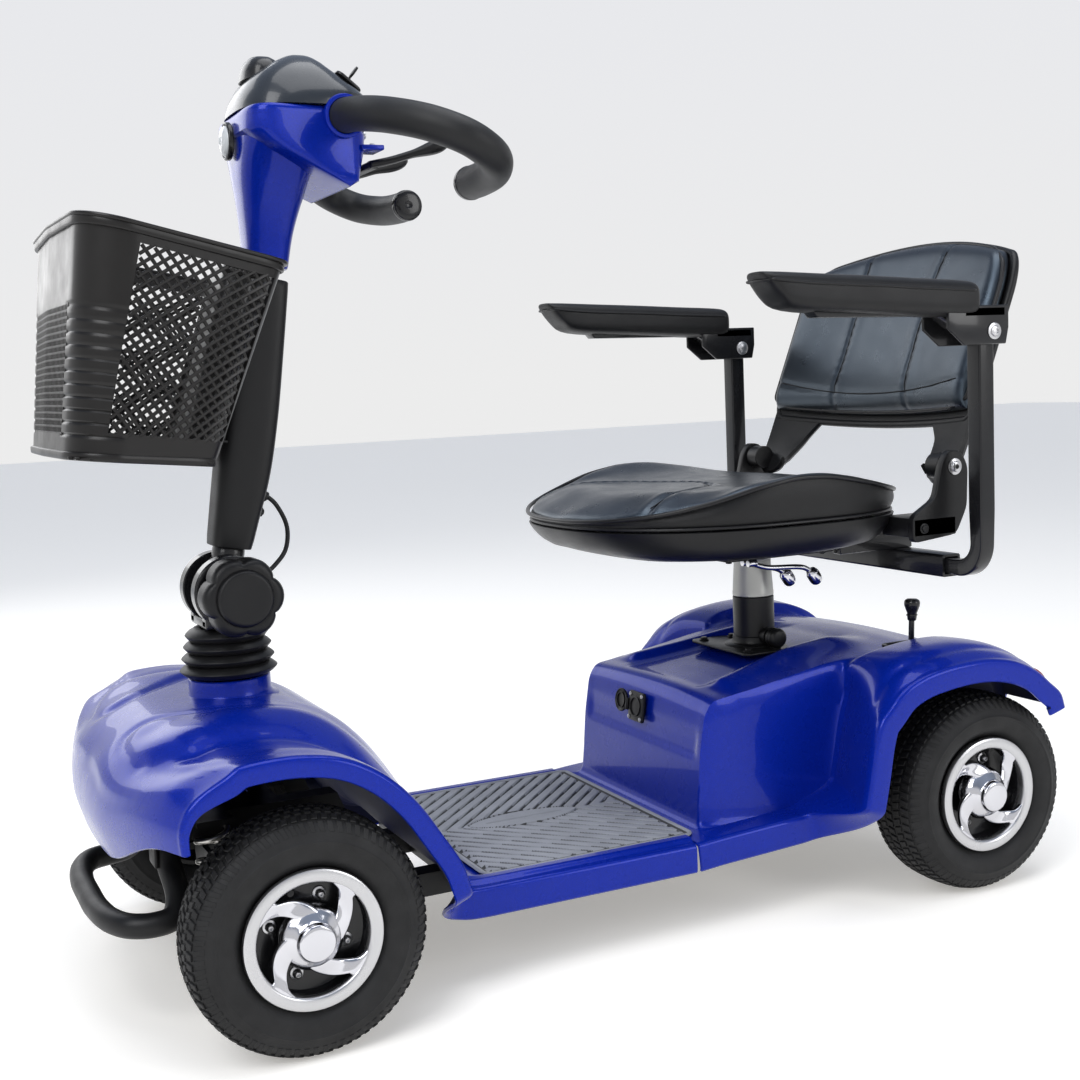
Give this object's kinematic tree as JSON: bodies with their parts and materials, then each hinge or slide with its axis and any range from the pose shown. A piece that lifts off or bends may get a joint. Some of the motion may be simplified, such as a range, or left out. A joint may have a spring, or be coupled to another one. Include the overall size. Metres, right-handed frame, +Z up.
{
  "type": "mobility scooter",
  "caption": "Four-wheel mobility scooter with folding steering tiller, front basket, looped handlebars, flat foot deck and a swivelling padded armchair seat.",
  "frame": {"origin": "on the floor under the middle of the overall box", "axes": "+Z up, -Y towards the front of the scooter, +X towards the left of a seated rider"},
  "size_m": [0.5468, 1.1117, 0.943],
  "materials": {
    "body_blue": "metallic blue lacquer, high gloss",
    "black_plastic": "fine grain, satin",
    "black_steel": "black powder coat",
    "foam": "soft foam grip",
    "bellows_rubber": "moulded rubber, satin",
    "tyre": "moulded tread, matt",
    "chrome": "polished",
    "silver_steel": "zinc plated",
    "grey_console": "dark grey, semi gloss",
    "mat_rubber": "ribbed grey",
    "leather": "black synthetic leather, soft sheen",
    "red_lens": "clear red",
    "clear_lens": "clear",
    "arm_pad": "moulded soft skin"
  },
  "bodies": {
    "chassis": {"chassis_frame": "black_steel", "front_bumper": "black_steel", "front_cover": "body_blue", "floor_mat": "mat_rubber", "rear_cover": "body_blue", "battery_pack": "black_plastic", "drive_transaxle": "silver_steel", "charging_socket": "black_plastic", "tail_lamp_left": "red_lens", "tail_lamp_right": "red_lens", "seat_post_outer": "black_steel"},
    "freewheel": {"freewheel_lever": "black_plastic"},
    "cap": {"charging_cap": "bellows_rubber"},
    "height_pin": {"seat_height_pin": "black_plastic"},
    "front_axle": {"front_axle_beam": "black_steel", "front_spring_left": "silver_steel", "front_spring_right": "silver_steel"},
    "steer_knuckle_left": {"knuckle_left": "silver_steel"},
    "steer_knuckle_right": {"knuckle_right": "silver_steel"},
    "steer_link": {"tie_rod": "silver_steel"},
    "column": {"steering_column": "black_steel", "steering_bellows": "bellows_rubber"},
    "tiller": {"tiller_tube": "black_steel", "tiller_lower_cover": "black_plastic", "tiller_upper_cover": "body_blue", "console": "grey_console", "handlebar_left": "foam", "handlebar_right": "foam", "headlight": "clear_lens", "tiller_cable": "bellows_rubber"},
    "clamp_knob": {"tiller_knob": "black_plastic"},
    "front_basket": {"basket": "black_plastic"},
    "throttle": {"throttle_paddle": "black_plastic"},
    "key": {"ignition_key": "silver_steel"},
    "dial": {"speed_dial": "black_plastic"},
    "horn": {"horn_button": "black_plastic"},
    "seat_post": {"seat_post_inner": "silver_steel"},
    "swivel_base": {"seat_base": "black_steel"},
    "swivel_lever": {"seat_swivel_lever": "chrome"},
    "slide_lever": {"seat_slide_lever": "chrome"},
    "seat": {"seat_pan": "black_plastic", "seat_cushion": "leather"},
    "backrest": {"backrest_shell": "black_plastic", "backrest_cushion": "leather"},
    "arm_left": {"arm_tube_left": "black_steel"},
    "arm_right": {"arm_tube_right": "black_steel"},
    "rest_left": {"armrest_left": "arm_pad"},
    "rest_right": {"armrest_right": "arm_pad"},
    "wheel_front_left": {"front_left_tyre": "tyre", "front_left_rim": "black_steel", "front_left_trim": "chrome"},
    "wheel_front_right": {"front_right_tyre": "tyre", "front_right_rim": "black_steel", "front_right_trim": "chrome"},
    "wheel_rear_left": {"rear_left_tyre": "tyre", "rear_left_rim": "black_steel", "rear_left_trim": "chrome"},
    "wheel_rear_right": {"rear_right_tyre": "tyre", "rear_right_rim": "black_steel", "rear_right_trim": "chrome"}
  },
  "joints": [
    {"name": "front_axle_rock", "type": "hinge", "parent": "chassis", "child": "front_axle", "pos_m": [0, -0.3863, 0.114], "axis": [0, 1, 0], "range_deg": [-4, 4], "stiffness_Nm_per_rad": 160, "deforming": ["front_spring_left", "front_spring_right"]},
    {"name": "steer_tiller", "type": "hinge", "parent": "chassis", "child": "column", "pos_m": [0, -0.3863, 0.2], "axis": [0, 0, 1], "range_deg": [-30, 30]},
    {"name": "steer_left", "type": "hinge", "parent": "front_axle", "child": "steer_knuckle_left", "pos_m": [0.172, -0.3863, 0.114], "axis": [0, 0, 1], "range_deg": [-30, 30]},
    {"name": "steer_right", "type": "hinge", "parent": "front_axle", "child": "steer_knuckle_right", "pos_m": [-0.172, -0.3863, 0.114], "axis": [0, 0, 1], "range_deg": [-30, 30]},
    {"name": "tie_rod_pivot", "type": "hinge", "parent": "steer_knuckle_left", "child": "steer_link", "pos_m": [0.172, -0.3313, 0.114], "axis": [0, 0, 1], "range_deg": [-30, 30]},
    {"name": "front_left_spin", "type": "hinge", "parent": "steer_knuckle_left", "child": "wheel_front_left", "pos_m": [0.228, -0.3863, 0.114], "axis": [1, 0, 0], "continuous": true},
    {"name": "front_right_spin", "type": "hinge", "parent": "steer_knuckle_right", "child": "wheel_front_right", "pos_m": [-0.228, -0.3863, 0.114], "axis": [1, 0, 0], "continuous": true},
    {"name": "rear_left_spin", "type": "hinge", "parent": "chassis", "child": "wheel_rear_left", "pos_m": [0.207, 0.4127, 0.114], "axis": [1, 0, 0], "continuous": true},
    {"name": "rear_right_spin", "type": "hinge", "parent": "chassis", "child": "wheel_rear_right", "pos_m": [-0.207, 0.4127, 0.114], "axis": [1, 0, 0], "continuous": true},
    {"name": "tiller_fold", "type": "hinge", "parent": "column", "child": "tiller", "pos_m": [0, -0.3863, 0.404], "axis": [1, 0, 0], "range_deg": [-30, 10], "deforming": ["tiller_cable"]},
    {"name": "tiller_knob_turn", "type": "hinge", "parent": "column", "child": "clamp_knob", "pos_m": [0.068, -0.3863, 0.404], "axis": [1, 0, 0], "continuous": true},
    {"name": "basket_lift", "type": "slide", "parent": "tiller", "child": "front_basket", "axis": [0, 0.1908, 0.9816], "range_m": [0, 0.06]},
    {"name": "throttle_turn", "type": "hinge", "parent": "tiller", "child": "throttle", "pos_m": [0, -0.2588, 0.83], "axis": [0, 0, 1], "range_deg": [-15, 15], "stiffness_Nm_per_rad": 0.5},
    {"name": "key_turn", "type": "hinge", "parent": "tiller", "child": "key", "pos_m": [0.03, -0.2338, 0.9144], "axis": [0, 0.6291, 0.7773], "range_deg": [0, 60]},
    {"name": "speed_dial_turn", "type": "hinge", "parent": "tiller", "child": "dial", "pos_m": [0, -0.2338, 0.9144], "axis": [0, 0.6291, 0.7773], "range_deg": [-135, 135]},
    {"name": "horn_press", "type": "slide", "parent": "tiller", "child": "horn", "axis": [0, -0.6291, -0.7773], "range_m": [0, 0.002], "stiffness_N_per_m": 600},
    {"name": "seat_height", "type": "slide", "parent": "chassis", "child": "seat_post", "axis": [0, 0, 1], "range_m": [0, 0.05]},
    {"name": "seat_height_pin_pull", "type": "slide", "parent": "chassis", "child": "height_pin", "axis": [1, 0, 0], "range_m": [0, 0.012], "stiffness_N_per_m": 400},
    {"name": "seat_swivel", "type": "hinge", "parent": "seat_post", "child": "swivel_base", "pos_m": [0, 0.2642, 0.386], "axis": [0, 0, 1], "continuous": true},
    {"name": "seat_swivel_lever_pull", "type": "hinge", "parent": "swivel_base", "child": "swivel_lever", "pos_m": [0.046, 0.2252, 0.379], "axis": [1, 0, 0], "range_deg": [0, 7], "stiffness_Nm_per_rad": 1, "springref_deg": -17.19},
    {"name": "seat_slide_lever_pull", "type": "hinge", "parent": "swivel_base", "child": "slide_lever", "pos_m": [0.058, 0.2252, 0.379], "axis": [1, 0, 0], "range_deg": [0, 7], "stiffness_Nm_per_rad": 1, "springref_deg": -17.19},
    {"name": "seat_slide", "type": "slide", "parent": "swivel_base", "child": "seat", "axis": [0, 1, 0], "range_m": [-0.04, 0.04]},
    {"name": "backrest_fold", "type": "hinge", "parent": "seat", "child": "backrest", "pos_m": [0, 0.4032, 0.487], "axis": [1, 0, 0], "range_deg": [0, 85]},
    {"name": "arm_left_width", "type": "slide", "parent": "seat", "child": "arm_left", "axis": [1, 0, 0], "range_m": [0, 0.05]},
    {"name": "arm_right_width", "type": "slide", "parent": "seat", "child": "arm_right", "axis": [-1, 0, 0], "range_m": [0, 0.05]},
    {"name": "armrest_left_flip", "type": "hinge", "parent": "arm_left", "child": "rest_left", "pos_m": [0.246, 0.4062, 0.636], "axis": [1, 0, 0], "range_deg": [-100, 0]},
    {"name": "armrest_right_flip", "type": "hinge", "parent": "arm_right", "child": "rest_right", "pos_m": [-0.246, 0.4062, 0.636], "axis": [1, 0, 0], "range_deg": [-100, 0]},
    {"name": "freewheel_pull", "type": "hinge", "parent": "chassis", "child": "freewheel", "pos_m": [0.139, 0.3912, 0.232], "axis": [1, 0, 0], "range_deg": [0, 22]},
    {"name": "charging_cap_close", "type": "hinge", "parent": "chassis", "child": "cap", "pos_m": [-0.0193, 0.09435, 0.21676], "axis": [0, 0.1414, 0.9899], "range_deg": [0, 174]}
  ],
  "couplings": [
    {"joint": "steer_left", "follows": "steer_tiller", "ratio": 1},
    {"joint": "steer_right", "follows": "steer_tiller", "ratio": 1},
    {"joint": "tie_rod_pivot", "follows": "steer_tiller", "ratio": -1}
  ]
}
